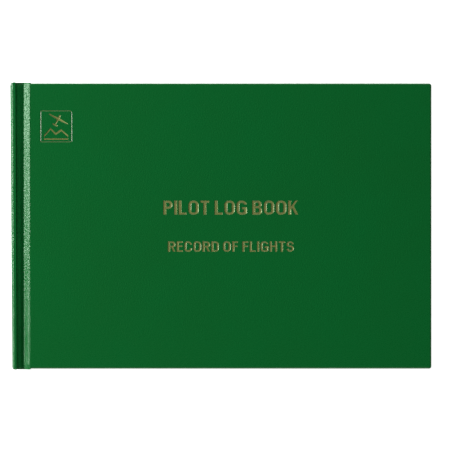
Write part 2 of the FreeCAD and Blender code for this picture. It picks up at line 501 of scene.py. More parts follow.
@dataclass(frozen=True)
class PrintedPage:
    """Log paper with a printed form: a frame, a heading band, columns and rows. Lines only."""

    name: str
    columns_mm: tuple[float, ...]
    rows: int
    row_mm: float
    heading_mm: float = 14.0
    margin_mm: float = 9.0
    line_mm: float = 0.42
    paper: str = "#efebdd"
    tint: str = "#dfe8d6"
    ink: str = "#5d7a68"

    def make(self, page: tuple[Vector, Vector]) -> bpy.types.Material:
        """Build the material for pages at one place.

        Args:
            page: The page's lowest and highest corner.

        Returns:
            The material.
        """
        # Offset print in one thin ink on matt paper. Hairlines are drawn 0.42 mm wide, so that they show.
        material, tree, shader = start_material(self.name)
        flat = add_node(tree, "ShaderNodeTexCoord").outputs["UV"]
        axes = add_node(tree, "ShaderNodeSeparateXYZ", {"Vector": flat})
        left = page[0].x + self.margin_mm * MM
        top = page[1].y - self.margin_mm * MM
        head = top - self.heading_mm * MM
        bottom = head - self.rows * self.row_mm * MM
        right = left + sum(self.columns_mm) * MM
        half = self.line_mm * MM / 2

        def between(socket: bpy.types.NodeSocket, low: float, high: float) -> bpy.types.NodeSocket:
            """Return 1 where a coordinate lies between two places."""
            middle = (low + high) / 2 / UV_SPAN + 0.5
            reach = (high - low) / 2 / UV_SPAN
            inside = add_node(tree, "ShaderNodeMath", {0: socket, 1: middle, 2: reach}, operation="COMPARE")
            return inside.outputs[0]

        def joined(sockets: list[bpy.types.NodeSocket], how: str) -> bpy.types.NodeSocket:
            """Return many masks as one, by maximum or product."""
            result = sockets[0]
            for socket in sockets[1:]:
                result = add_node(tree, "ShaderNodeMath", {0: result, 1: socket}, operation=how).outputs[0]
            return result

        inside_x = between(axes.outputs["X"], left - half, right + half)
        inside_y = between(axes.outputs["Y"], bottom - half, top + half)
        edges = [left]
        for width in self.columns_mm:
            edges.append(edges[-1] + width * MM)
        uprights = joined([between(axes.outputs["X"], x - half, x + half) for x in edges], "MAXIMUM")
        levels = [top, head] + [head - number * self.row_mm * MM for number in range(1, self.rows + 1)]
        cross = joined([between(axes.outputs["Y"], y - half, y + half) for y in levels], "MAXIMUM")
        ruled = joined([uprights, cross], "MAXIMUM")
        ink = joined([ruled, inside_x, inside_y], "MULTIPLY")
        band = joined([between(axes.outputs["Y"], head, top), inside_x], "MULTIPLY")
        clouds = add_node(tree, "ShaderNodeTexNoise", {"Vector": flat, "Scale": 9.0, "Detail": 3.0})
        tone = add_node(
            tree,
            "ShaderNodeMapRange",
            {0: clouds.outputs["Fac"], 1: 0.2, 2: 0.8, 3: 0.93, 4: 1.0},
        )
        ground = add_node(
            tree,
            "ShaderNodeMix",
            {0: band, 6: linear(self.paper), 7: linear(self.tint)},
            data_type="RGBA",
        )
        clouded = add_node(
            tree,
            "ShaderNodeMix",
            {0: 1.0, 6: ground.outputs[2], 7: tone.outputs[0]},
            data_type="RGBA",
            blend_type="MULTIPLY",
        )
        printed = add_node(
            tree,
            "ShaderNodeMix",
            {0: ink, 6: clouded.outputs[2], 7: linear(self.ink)},
            data_type="RGBA",
        )
        tree.links.new(printed.outputs[2], shader.inputs["Base Color"])
        shader.inputs["Roughness"].default_value = 0.85
        shader.inputs["Specular IOR Level"].default_value = 0.3
        return material


@dataclass(frozen=True)
class Weave:
    """Plain woven cloth or band: two crossing sets of threads."""

    name: str
    colour: str
    shadow: str
    thread_mm: float
    coordinates: Coordinates = Coordinates.OBJECT

    def make(self) -> bpy.types.Material:
        """Build the material.

        Returns:
            The material.
        """
        # Stiffened open cotton: rounded threads, with painted shade in the holes between them, and no gloss.
        material, tree, shader = start_material(self.name)
        span = self.coordinates.span
        place = add_node(tree, "ShaderNodeTexCoord").outputs[self.coordinates.value]
        # The weave turns by one radian over each thread_mm.
        scale = span / (WAVE_PHASE * self.thread_mm * MM)
        sets = []
        for direction in ("X", "Y"):
            threads = add_node(
                tree,
                "ShaderNodeTexWave",
                {"Vector": place, "Scale": scale, "Distortion": 0.4},
                bands_direction=direction,
            )
            sets.append(threads.outputs["Fac"])
        height = add_node(tree, "ShaderNodeMath", {0: sets[0], 1: sets[1]}, operation="MAXIMUM")
        colour = add_node(
            tree,
            "ShaderNodeMix",
            {0: height.outputs[0], 6: linear(self.shadow), 7: linear(self.colour)},
            data_type="RGBA",
        )
        bump = add_node(
            tree,
            "ShaderNodeBump",
            {"Height": height.outputs[0], "Strength": 0.6, "Distance": 0.1 * MM},
        )
        tree.links.new(colour.outputs[2], shader.inputs["Base Color"])
        tree.links.new(bump.outputs[0], shader.inputs["Normal"])
        shader.inputs["Roughness"].default_value = 0.9
        return material


@dataclass
class Finishes:
    """Every finish of the book, made once."""

    case: bpy.types.Material = field(default_factory=lambda: Leatherette().make())
    pressed: bpy.types.Material = field(
        default_factory=lambda: Leatherette("pressed_leatherette", grain_height_mm=0.02).make()
    )
    joint: bpy.types.Material = field(
        default_factory=lambda: Leatherette(
            "embossed_leatherette_bending",
            sheen="#dcffe4",
            grain_mm=0.45,
            grain_height_mm=0.2,
            specular=0.45,
            coordinates=Coordinates.UV,
        ).make()
    )
    foil: bpy.types.Material = field(default_factory=lambda: HotFoil().make())
    endpaper: bpy.types.Material = field(
        default_factory=lambda: Paper("white_endpaper", "#f1efe8", "#e6e3d8").make()
    )
    free_endpaper: bpy.types.Material = field(
        default_factory=lambda: Paper(
            "white_endpaper_bending", "#f1efe8", "#e6e3d8", coordinates=Coordinates.UV
        ).make()
    )
    board: bpy.types.Material = field(
        default_factory=lambda: Paper(
            "greyboard", "#8f8a80", "#7b776e", fibre_mm=0.8, fibre_height_mm=0.04
        ).make()
    )
    kraft: bpy.types.Material = field(
        default_factory=lambda: Paper(
            "kraft_lining", "#a98a63", "#967752", fibre_mm=0.7, fibre_height_mm=0.02
        ).make()
    )
    glue: bpy.types.Material = field(
        default_factory=lambda: Paper(
            "dried_binding_glue", "#e4ddc6", "#d3c9a8", fibre_mm=1.5, fibre_height_mm=0.05, roughness=0.4
        ).make()
    )
    edges: bpy.types.Material = field(default_factory=lambda: PageEdges().make())
    mull: bpy.types.Material = field(
        default_factory=lambda: Weave("cotton_mull", "#ddd8c8", "#a8a292", thread_mm=0.9).make()
    )
    joint_mull: bpy.types.Material = field(
        default_factory=lambda: Weave(
            "cotton_mull_bending", "#ddd8c8", "#a8a292", thread_mm=0.9, coordinates=Coordinates.UV
        ).make()
    )
    thread: bpy.types.Material = field(
        default_factory=lambda: Weave("linen_thread", "#e8e2d2", "#b9b2a0", thread_mm=0.25).make()
    )
    band_green: bpy.types.Material = field(
        default_factory=lambda: Weave("green_band_silk", "#1c6b3a", "#0f4423", thread_mm=0.25).make()
    )
    band_white: bpy.types.Material = field(
        default_factory=lambda: Weave("white_band_silk", "#ece8dc", "#b8b2a2", thread_mm=0.25).make()
    )

    def dress_frame(self) -> None:
        """Give each carried-over solid its finish."""
        dressed = {
            "front_board": self.board,
            "back_board": self.board,
            "front_pastedown": self.endpaper,
            "back_pastedown": self.endpaper,
            "front_mull_flange": self.mull,
            "back_mull_flange": self.mull,
            "spine_lining": self.kraft,
            "spine_glue": self.glue,
            "sewing_thread": self.thread,
        }
        for node, material in dressed.items():
            slots = frame["nodes"][node].data.materials
            slots.clear()
            slots.append(material)
            log.info("%s dressed as %s", node, material.name)


# ---------------------------------------------------------------- the case

Knots = tuple[tuple[float, float], ...]


@dataclass(frozen=True)
class Strip:
    """A strip that crosses a joint inside the case, under the back of the text block."""

    name: str
    material: bpy.types.Material
    slot: str
    start: float
    half_height: float
    rise: float
    thickness: float


@dataclass
class Case:
    """The leatherette case: two wrapped boards, the spine and the two bending joints."""

    finishes: Finishes
    corner_radius: float = 1.2 * MM
    recess_wall: float = 0.1 * MM
    turned_edge: float = 0.95 * MM
    spine_edge: float = 1.8 * MM
    spine_sink: float = 0.03 * MM
    turn_in: float = 15.0 * MM
    skin: float = 0.3 * MM
    groove_head: Knots = ((1.6, 0.0), (5.0, 1.15), (6.6, 1.83), (7.4, 1.35), (8.7, 0.6), (9.8, 0.0))
    groove_tail: Knots = ((1.6, 0.0), (5.0, 1.2), (6.6, 2.3), (7.3, 1.9), (9.1, 0.3), (10.2, 0.0))
    groove_round: float = 0.22 * MM
    lean: float = 0.53 * MM
    joint_start: float = 0.5 * MM
    joint_lap: float = 0.05 * MM
    joint_steps: tuple[int, int] = (80, 90)
    end_play: float = 0.1 * MM
    end_roll: float = 0.5 * MM
    bend_start: float = 0.6 * MM
    inner_lap: float = 0.3 * MM
    inner_steps: tuple[int, int] = (40, 4)
    mull_wall: float = 0.2 * MM
    mull_rise: float = 0.12 * MM
    mull_thickness: float = 0.15 * MM
    paper_rise: float = 0.02 * MM
    paper_thickness: float = 0.07 * MM
    paper_lap: float = 6.4 * MM

    def __post_init__(self) -> None:
        """Read the case's main places from the frame."""
        self.spine_low, self.spine_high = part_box("spine_skin")
        self.board_low, self.board_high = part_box("back_cover_skin")
        self.thickness = self.spine_high.z

    def cover(self, side: Side) -> bpy.types.Object:
        """Build one wrapped board, with its turned edges and the recess inside its turn-ins.

        Args:
            side: Which cover.

        Returns:
            The piece.
        """
        shape = bmesh.new()
        add_block(shape, self.board_low, self.board_high)
        fore_edge = self.board_high.x
        corners = [
            edge
            for edge in shape.edges
            if all(abs(vert.co.x - fore_edge) < TOUCHING for vert in edge.verts)
            and abs(edge.verts[0].co.z - edge.verts[1].co.z) > self.skin
        ]
        bmesh.ops.bevel(
            shape,
            geom=corners,
            offset=self.corner_radius,
            affect="EDGES",
            segments=6,
            profile=0.5,
            material=-1,
        )
        joint_edge = self.board_low.x
        rims = [
            edge
            for edge in shape.edges
            if abs(edge.verts[0].co.z - edge.verts[1].co.z) < TOUCHING
            and not all(abs(vert.co.x - joint_edge) < TOUCHING for vert in edge.verts)
        ]
        bmesh.ops.bevel(
            shape,
            geom=rims,
            offset=self.turned_edge,
            affect="EDGES",
            segments=5,
            profile=0.5,
            material=-1,
        )
        inside = max(shape.faces, key=lambda face: face.calc_center_median().z * face.calc_area())
        bmesh.ops.inset_region(shape, faces=[inside], thickness=self.turn_in)
        bmesh.ops.inset_region(shape, faces=[inside], thickness=self.recess_wall)
        for vert in inside.verts:
            vert.co.z -= self.skin
        bmesh.ops.recalc_face_normals(shape, faces=shape.faces)
        if side is Side.FRONT:
            turn_over(shape, self.thickness / 2)
        materials = [self.finishes.case]
        if side is Side.FRONT:
            materials.append(self.finishes.pressed)
        name = f"{side.value}_cover"
        piece = finish_piece(f"{name}_leatherette", shape, materials, name, "green_leatherette")
        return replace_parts(piece, f"{name}_skin")

    def spine(self) -> bpy.types.Object:
        """Build the wrapped spine over its rounded board, just below the joint cloth that runs onto it.

        Returns:
            The piece.
        """
        sink = Vector((0, 0, self.spine_sink))
        low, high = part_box("spine_board")
        core = self.rounded_strip(low + sink, high - sink, self.spine_edge - self.skin)
        core = finish_piece("rounded_spine_board", core, [self.finishes.board], ROOT, "greyboard")
        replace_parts(core, "spine_board")
        shape = self.rounded_strip(self.spine_low + sink, self.spine_high - sink, self.spine_edge)
        piece = finish_piece("spine_leatherette", shape, [self.finishes.case], ROOT, "green_leatherette")
        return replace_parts(piece, "spine_skin")

    def rounded_strip(self, low: Vector, high: Vector, radius: float) -> bmesh.types.BMesh:
        """Build a strip along the spine with its outer edges rounded, leaning as the spine does.

        Args:
            low: The lowest corner.
            high: The highest corner.
            radius: The round of its outer long edges.

        Returns:
            The strip.
        """
        shape = bmesh.new()
        add_block(shape, low, high)
        outer = [edge for edge in shape.edges if max(vert.co.x for vert in edge.verts) < low.x + TOUCHING]
        bmesh.ops.bevel(
            shape,
            geom=outer,
            offset=radius,
            affect="EDGES",
            segments=8,
            profile=0.5,
            material=-1,
        )
        bmesh.ops.recalc_face_normals(shape, faces=shape.faces)
        self.lean_over(shape)
        return shape

    def groove(self, x: float, y: float) -> float:
        """Return how deep the joint cloth lies below the case's face.

        Args:
            x: The place across the joint.
            y: The place along the joint.

        Returns:
            The depth.
        """
        # The pressing wanders a little along the joint, and its corners are rounded by a mean over them.
        wander = 1 + 0.03 * math.sin(y * 90) + 0.02 * math.sin(y * 210 + 1)
        shifts = (-1, -0.5, 0, 0.5, 1)
        share = 0.5 - y / (2 * self.spine_high.y)
        knots = [
            (x0 + (x1 - x0) * share, d0 + (d1 - d0) * share)
            for (x0, d0), (x1, d1) in zip(self.groove_head, self.groove_tail)
        ]
        depth = 0.0
        for shift in shifts:
            place = (x - self.spine_low.x + shift * self.groove_round) / MM
            for (x0, d0), (x1, d1) in zip(knots, knots[1:]):
                if x0 <= place < x1:
                    depth += (d0 + (d1 - d0) * (place - x0) / (x1 - x0)) / len(shifts)
        return depth * wander * MM

    def lean_over(self, shape: bmesh.types.BMesh) -> None:
        """Lean the spine a little along its length, as a pressed case sits, up to the groove.

        Args:
            shape: The shape to lean.
        """
        reach = self.groove_head[2][0] * MM
        for vert in shape.verts:
            share = max(0.0, 1 - (vert.co.x - self.spine_low.x) / reach)
            vert.co.x -= self.lean * share * vert.co.y / self.spine_high.y

    def joint(self, side: Side) -> bpy.types.Object:
        """Build the cloth of one joint, which bends between the spine and the cover.

        Args:
            side: Which joint.

        Returns:
            The piece.
        """
        shape = bmesh.new()
        half = self.spine_high.y - self.end_play
        roll = self.end_roll

        def height(x: float, y: float) -> float:
            """Return the cloth's face, rolled down at head, tail and spine."""
            end = max(0.0, abs(y) - half + roll) / roll
            start = max(0.0, self.spine_low.x + self.spine_edge - x) / self.spine_edge
            drop = roll * (1 - math.sqrt(max(0.0, 1 - end * end)))
            drop += self.spine_edge * (1 - math.sqrt(1 - start * start))
            return self.thickness - self.groove(x, y) - drop

        low = (self.spine_low.x + self.joint_start, -half)
        high = (self.board_low.x + self.joint_lap, half)
        add_sheet(shape, low, high, self.joint_steps, height)
        thicken(shape, self.skin)
        self.lean_over(shape)
        if side is Side.BACK:
            turn_over(shape, self.thickness / 2)
        piece = finish_piece(
            f"{side.value}_joint_leatherette", shape, [self.finishes.joint], None, "green_leatherette"
        )
        map_from_above(piece)
        self.bend(piece, side)
        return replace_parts(piece, f"{side.value}_joint_skin")

    def bend(self, piece: bpy.types.Object, side: Side) -> None:
        """Bake a strip's place into its mesh.

        Args:
            piece: The strip.
            side: Which joint; not used.
        """
        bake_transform(piece)

    def inner_joint(self, side: Side) -> list[bpy.types.Object]:
        """Build the mull and the endpaper that cross one joint inside the case.

        Args:
            side: Which joint.

        Returns:
            The two strips.
        """
        mull_low, mull_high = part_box("mull")
        _, leaf_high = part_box("front_flyleaf")
        pieces = []
        under = self.thickness - leaf_high.z
        strips = (
            Strip(
                "mull",
                self.finishes.joint_mull,
                "mull_cloth",
                start=mull_low.x,
                half_height=mull_high.y,
                rise=under - self.mull_rise,
                thickness=self.mull_thickness,
            ),
            Strip(
                "endpaper",
                self.finishes.free_endpaper,
                "endpaper",
                start=mull_high.x - self.paper_lap,
                half_height=leaf_high.y,
                rise=under - self.paper_rise,
                thickness=self.paper_thickness,
            ),
        )
        for strip in strips:
            shape = bmesh.new()
            low = (strip.start, -strip.half_height)
            high = (self.board_low.x + self.inner_lap, strip.half_height)
            add_sheet(shape, low, high, self.inner_steps, lambda x, y, strip=strip: strip.rise)
            thicken(shape, strip.thickness)
            if side is Side.FRONT:
                turn_over(shape, self.thickness / 2)
            name = f"{side.value}_{strip.name}_joint"
            piece = finish_piece(name, shape, [strip.material], None, strip.slot)
            map_from_above(piece)
            self.bend(piece, side)
            pieces.append(piece)
        return pieces

    def spine_mull(self) -> bpy.types.Object:
        """Build the mull over the folds, which stays on the text block.

        Returns:
            The piece.
        """
        low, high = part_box("mull")
        shape = bmesh.new()
        wall = Vector((low.x + self.mull_wall, high.y, high.z))
        add_block(shape, low, wall)
        piece = finish_piece("spine_mull", shape, [self.finishes.mull], ROOT, "mull_cloth")
        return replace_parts(piece, "mull")

    def build(self) -> bpy.types.Object:
        """Build the whole case.

        Returns:
            The front cover's leatherette.
        """
        self.spine()
        self.spine_mull()
        covers = []
        for side in Side:
            covers.append(self.cover(side))
            self.joint(side)
            self.inner_joint(side)
        return covers[0]


# ---------------------------------------------------------------- the foil

Corner = tuple[float, float, float]

LETTER_WIDTHS = {
    "B": 0.62,
    "C": 0.64,
    "D": 0.63,
    "E": 0.53,
    "F": 0.50,
    "G": 0.66,
    "H": 0.63,
    "I": 0.18,
    "K": 0.66,
    "L": 0.51,
    "O": 0.66,
    "P": 0.58,
    "R": 0.62,
    "S": 0.61,
    "T": 0.56,
}


@dataclass
class Capitals:
    """Plain bold capitals, cut as a brass type would be. A corner is its x, y and round, in cap heights."""

    stem: float = 0.20
    bar: float = 0.165
    middle: float = 0.53
    outer: float = 0.29
    inner: float = 0.11
    gap: float = 0.10
    space: float = 0.33
    arc_steps: int = 5

    def letter(self, name: str) -> tuple[float, list[list[Corner]]]:
        """Give one capital's width and its outlines, the counters among them.

        Args:
            name: The letter.

        Returns:
            The width and the outlines.
        """
        s, t, m, a, b = self.stem, self.bar, self.middle, self.outer, self.inner
        up, down = m + t / 2, m - t / 2
        w = LETTER_WIDTHS[name]
        r = w - s
        ring = [(s, t, b), (r, t, b), (r, 1 - t, b), (s, 1 - t, b)]
        bowl = [(s, 0.41 + t, 0), (r, 0.41 + t, 0.09), (r, 1 - t, 0.09), (s, 1 - t, 0)]
        shapes = {
            "I": [[(0, 0, 0), (s, 0, 0), (s, 1, 0), (0, 1, 0)]],
            "L": [[(0, 0, 0), (w, 0, 0), (w, t, 0), (s, t, 0), (s, 1, 0), (0, 1, 0)]],
            "T": [
                [(0, 1, 0), (0, 1 - t, 0), (r / 2, 1 - t, 0), (r / 2, 0, 0)]
                + [(r / 2 + s, 0, 0), (r / 2 + s, 1 - t, 0), (w, 1 - t, 0), (w, 1, 0)]
            ],
            "H": [
                [(0, 0, 0), (s, 0, 0), (s, down, 0), (r, down, 0), (r, 0, 0), (w, 0, 0)]
                + [(w, 1, 0), (r, 1, 0), (r, up, 0), (s, up, 0), (s, 1, 0), (0, 1, 0)]
            ],
            "E": [
                [(0, 0, 0), (w, 0, 0), (w, t, 0), (s, t, 0), (s, down, 0), (0.92 * w, down, 0)]
                + [(0.92 * w, up, 0), (s, up, 0), (s, 1 - t, 0), (w, 1 - t, 0), (w, 1, 0), (0, 1, 0)]
            ],
            "F": [
                [(0, 0, 0), (s, 0, 0), (s, down, 0), (0.9 * w, down, 0), (0.9 * w, up, 0)]
                + [(s, up, 0), (s, 1 - t, 0), (w, 1 - t, 0), (w, 1, 0), (0, 1, 0)]
            ],
            "P": [[(0, 0, 0), (s, 0, 0), (s, 0.41, 0), (w, 0.41, 0.25), (w, 1, 0.25), (0, 1, 0)], bowl],
            "R": [
                [(0, 0, 0), (s, 0, 0), (s, 0.41, 0), (0.29, 0.41, 0), (0.42, 0, 0), (0.62, 0, 0)]
                + [(0.47, 0.44, 0), (w, 0.5, 0.12), (w, 1, 0.25), (0, 1, 0)],
                bowl,
            ],
            "B": [
                [(0, 0, 0), (w, 0, 0.22), (w, m, 0.22), (w - 0.1, m + 0.02, 0)]
                + [(w - 0.03, m + 0.09, 0), (w - 0.03, 1, 0.22), (0, 1, 0)],
                [(s, t, 0), (r, t, 0.09), (r, down, 0.09), (s, down, 0)],
                [(s, up, 0), (r - 0.03, up, 0.09), (r - 0.03, 1 - t, 0.09), (s, 1 - t, 0)],
            ],
            "D": [
                [(0, 0, 0), (w, 0, a), (w, 1, a), (0, 1, 0)],
                [(s, t, 0), (r, t, b), (r, 1 - t, b), (s, 1 - t, 0)],
            ],
            "O": [[(0, 0, a), (w, 0, a), (w, 1, a), (0, 1, a)], ring],
            "C": [
                [(0, 0, a), (w, 0, a), (w, 0.36, 0), (r, 0.36, 0), *ring[1::-1]]
                + [*ring[:1:-1], (r, 0.66, 0), (w, 0.66, 0), (w, 1, a), (0, 1, a)]
            ],
            "G": [
                [(0, 0, a), (w, 0, 0.16), (w, 0.54, 0), (w / 2, 0.54, 0), (w / 2, 0.54 - t, 0)]
                + [(r, 0.54 - t, 0), *ring[1::-1], *ring[:1:-1]]
                + [(r, 0.7, 0), (w, 0.7, 0), (w, 1, a), (0, 1, a)]
            ],
            "S": [
                [(w, 0.69, 0), (w, 1, a), (0, 1, a), (0, down, 0.25), (r, down, 0.1), (r, t, 0.1)]
                + [(s, t, 0.1), (s, 0.31, 0), (0, 0.31, 0), (0, 0, a), (w, 0, a), (w, up, 0.25)]
                + [(s, up, 0.1), (s, 1 - t, 0.1), (r, 1 - t, 0.1), (r, 0.69, 0)]
            ],
            "K": [
                [(0, 0, 0), (s, 0, 0), (s, 0.32, 0), (0.265, 0.445, 0), (0.455, 0, 0), (w, 0, 0)]
                + [(0.38, 0.6, 0), (0.64, 1, 0), (0.43, 1, 0), (s, 0.59, 0), (s, 1, 0), (0, 1, 0)]
            ],
        }
        return w, shapes[name]

    def round_off(self, corners: list[Corner]) -> list[tuple[float, float]]:
        """Turn corners and their rounds into the points of one closed outline.

        Args:
            corners: The corners in order.

        Returns:
            The points.
        """
        points = []
        for index, (x, y, radius) in enumerate(corners):
            here = Vector((x, y))
            if radius == 0:
                points.append((x, y))
                continue
            before = (Vector(corners[index - 1][:2]) - here).normalized()
            after = (Vector(corners[(index + 1) % len(corners)][:2]) - here).normalized()
            opening = before.angle(after)
            centre = here + (before + after).normalized() * radius / math.sin(opening / 2)
            reach = radius / math.tan(opening / 2)
            first = here + before * reach - centre
            turn = first.angle_signed(here + after * reach - centre)
            for step in range(self.arc_steps + 1):
                spoke = first.copy()
                spoke.rotate(Matrix.Rotation(-turn * step / self.arc_steps, 2))
                points.append(tuple(centre + spoke))
        return points

    def set_line(self, words: str) -> bmesh.types.BMesh:
        """Set a line of words as flat faces, one cap height tall.

        Args:
            words: The words, in capitals.

        Returns:
            The faces.
        """
        shape = bmesh.new()
        pen = 0.0
        for name in words:
            if name == " ":
                pen += self.space - self.gap
                continue
            width, outlines = self.letter(name)
            edges = []
            for corners in outlines:
                verts = [shape.verts.new((x + pen, y, 0)) for x, y in self.round_off(corners)]
                edges += [shape.edges.new((verts[i - 1], vert)) for i, vert in enumerate(verts)]
            bmesh.ops.triangle_fill(shape, use_beauty=True, use_dissolve=False, edges=edges)
            pen += width + self.gap
        return shape


@dataclass
class Foil:
    """The blocked emblem and the two lines of capitals on the front cover."""

    finishes: Finishes
    title: str = "PILOT LOG BOOK"
    subtitle: str = "RECORD OF FLIGHTS"
    film: float = 0.01 * MM
    bed: float = 0.03 * MM
    steepness: float = 0.58
    letter_wall: float = 0.29 * MM
    emblem_wall: float = 0.21 * MM
    frame_wall: float = 0.27 * MM
    stroke_share: float = 0.45
    letter_bare: float = 0.45
    emblem_bare: float = 0.6
    frame_bare: float = 0.95
    cutter_rise: float = 5.0
    capitals: Capitals = field(default_factory=Capitals)
    emblem_line: float = 0.64 * MM
    emblem_corner: float = 0.95 * MM
    glider_span: float = 0.68
    glider_place: tuple[float, float] = (0.05, 0.19)
    glider_heading: float = math.radians(-28)
    ridge: Knots = ((-0.38, -0.27), (-0.17, -0.04), (-0.01, -0.2), (0.16, -0.08), (0.38, -0.27))
    ridge_line: float = 0.075
    ground: Knots = ((-0.38, -0.42), (0.38, -0.42), (0.38, -0.37), (-0.38, -0.37))
    cutters: list[bpy.types.Object] = field(default_factory=list)

    def line(self, name: str, words: str, node: str) -> bpy.types.Object:
        """Set one line of capitals into the box of its node.

        Args:
            name: The piece's name.
            words: The text.
            node: The node whose box it fills.

        Returns:
            The piece.
        """
        shape = self.capitals.set_line(words)
        xs = [vert.co.x for vert in shape.verts]
        ys = [vert.co.y for vert in shape.verts]
        low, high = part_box(node)
        scale_x = (high.x - low.x) / (max(xs) - min(xs))
        scale_y = (high.y - low.y) / (max(ys) - min(ys))
        place = (
            Matrix.Translation((low.x, low.y, high.z))
            @ Matrix.Diagonal((scale_x, scale_y, 1, 1))
            @ Matrix.Translation((-min(xs), -min(ys), 0))
        )
        bmesh.ops.transform(shape, matrix=place, verts=shape.verts)
        thinnest = self.capitals.bar * scale_y
        film = self.emboss(shape, min(self.letter_wall, self.stroke_share * thinnest), self.letter_bare)
        piece = finish_piece(name, film, [self.finishes.foil], "front_cover", "gold_foil")
        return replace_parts(piece, node)

    def emboss(self, shape: bmesh.types.BMesh, wall: float, bare: float) -> bmesh.types.BMesh:
        """Keep a flat shape as a cutter with sloping walls, and turn it into the film that lines them.

        Args:
            shape: The flat faces, at the cover's face.
            wall: How wide the sloping wall is.
            bare: How much of that wall the film leaves bare, from 0 to 1.

        Returns:
            The film.
        """
        for face in shape.faces:
            face.normal_update()
        bmesh.ops.reverse_faces(shape, faces=[face for face in shape.faces if face.normal.z > 0])
        depth = wall * self.steepness
        cutter = self.raised(shape.copy(), 0.0, self.cutter_rise * depth)
        under = [face for face in cutter.faces if face.normal.z < -0.5]
        bmesh.ops.inset_region(cutter, faces=under, thickness=wall, depth=depth)
        for face in cutter.faces:
            face.material_index = 1
        mesh = bpy.data.meshes.new("cutter")
        cutter.to_mesh(mesh)
        mesh.materials.append(self.finishes.case)
        mesh.materials.append(self.finishes.pressed)
        cutter.free()
        self.cutters.append(bpy.data.objects.new("cutter", mesh))
        edge = bare * wall
        rim = bmesh.ops.inset_region(shape, faces=shape.faces[:], thickness=edge, use_boundary=True)
        bmesh.ops.delete(shape, geom=rim["faces"], context="FACES")
        shape = self.raised(shape, -depth - self.bed, self.film - bare * depth)
        tops = [face for face in shape.faces if face.normal.z > 0.5]
        bmesh.ops.inset_region(shape, faces=tops, thickness=wall - edge, depth=(bare - 1) * depth)
        return shape

    def raised(self, shape: bmesh.types.BMesh, low: float, high: float) -> bmesh.types.BMesh:
        """Turn flat faces that look down into a closed plate.

        Args:
            shape: The flat faces, at the cover's face.
            low: The plate's underside, from the cover's face.
            high: The plate's top, from the cover's face.

        Returns:
            The same bmesh.
        """
        lifted = bmesh.ops.extrude_face_region(shape, geom=shape.faces[:], use_keep_orig=True)
        tops = [item for item in lifted["geom"] if isinstance(item, bmesh.types.BMVert)]
        bmesh.ops.translate(shape, verts=shape.verts, vec=(0, 0, low))
        bmesh.ops.translate(shape, verts=tops, vec=(0, 0, high - low))
        bmesh.ops.recalc_face_normals(shape, faces=shape.faces)
        return shape

    def press_into(self, cover: bpy.types.Object) -> None:
        """Cut the blocked shapes into the cover's face.

        Args:
            cover: The front cover's leatherette.
        """
        for cutter in self.cutters:
            bpy.context.scene.collection.objects.link(cutter)
            cut = cover.modifiers.new("blocking", "BOOLEAN")
            cut.operation = "DIFFERENCE"
            cut.solver = "EXACT"
            cut.object = cutter
        depsgraph = bpy.context.evaluated_depsgraph_get()
        pressed = bpy.data.meshes.new_from_object(cover.evaluated_get(depsgraph))
        cover.modifiers.clear()
        before = cover.data
        cover.data = pressed
        pressed.name = before.name
        bpy.data.meshes.remove(before)
        for cutter in self.cutters:
            mesh = cutter.data
            bpy.data.objects.remove(cutter)
            bpy.data.meshes.remove(mesh)
        self.cutters.clear()
        shape = bmesh.new()
        shape.from_mesh(pressed)
        face_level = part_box("front_cover_skin")[1].z
        for edge in shape.edges:
            edge.smooth = edge.calc_face_angle(0.0) < SHARP_ANGLE
        for face in shape.faces:
            face.smooth = face.calc_center_median().z < face_level - self.letter_wall
        shape.to_mesh(pressed)
        shape.free()
        log.info("foil pressed into %s: %d faces", cover.name, len(pressed.polygons))

    def emblem(self) -> bpy.types.Object:
        """Build the square line, a sailplane seen from above, and two peaks on a ground line.

        Returns:
            The piece.
        """
        low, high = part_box("emblem_foil")
        side = high.x - low.x
        centre = (low + high) / 2
        shape = bmesh.new()
        outer = bmesh.ops.create_grid(shape, x_segments=1, y_segments=1, size=side / 2)["verts"]
        bmesh.ops.bevel(
            shape,
            geom=outer,
            offset=self.emblem_corner,
            affect="VERTICES",
            segments=4,
            profile=0.5,
            material=-1,
        )
        middle = shape.faces[:]
        bmesh.ops.inset_region(shape, faces=middle, thickness=self.emblem_line, use_boundary=True)
        bmesh.ops.delete(shape, geom=middle, context="FACES")
        art = self.sailplane(side * self.glider_span)
        place = Matrix.Translation((*(side * share for share in self.glider_place), 0))
        heading = Matrix.Rotation(self.glider_heading, 4, "Z")
        bmesh.ops.transform(art, matrix=place @ heading, verts=art.verts)
        foot = tuple((x, y - self.ridge_line) for x, y in reversed(self.ridge))
        for outline in (self.ridge + foot, self.ground):
            art.faces.new([art.verts.new((x * side, y * side, 0)) for x, y in outline])
        for part in (shape, art):
            bmesh.ops.translate(part, verts=part.verts, vec=(centre.x, centre.y, high.z))
        shape = self.emboss(shape, self.frame_wall, self.frame_bare)
        art = self.emboss(art, self.emblem_wall, self.emblem_bare)
        spare = bpy.data.meshes.new("spare")
        art.to_mesh(spare)
        art.free()
        shape.from_mesh(spare)
        bpy.data.meshes.remove(spare)
        piece = finish_piece("emblem", shape, [self.finishes.foil], "front_cover", "gold_foil")
        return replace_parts(piece, "emblem_foil")

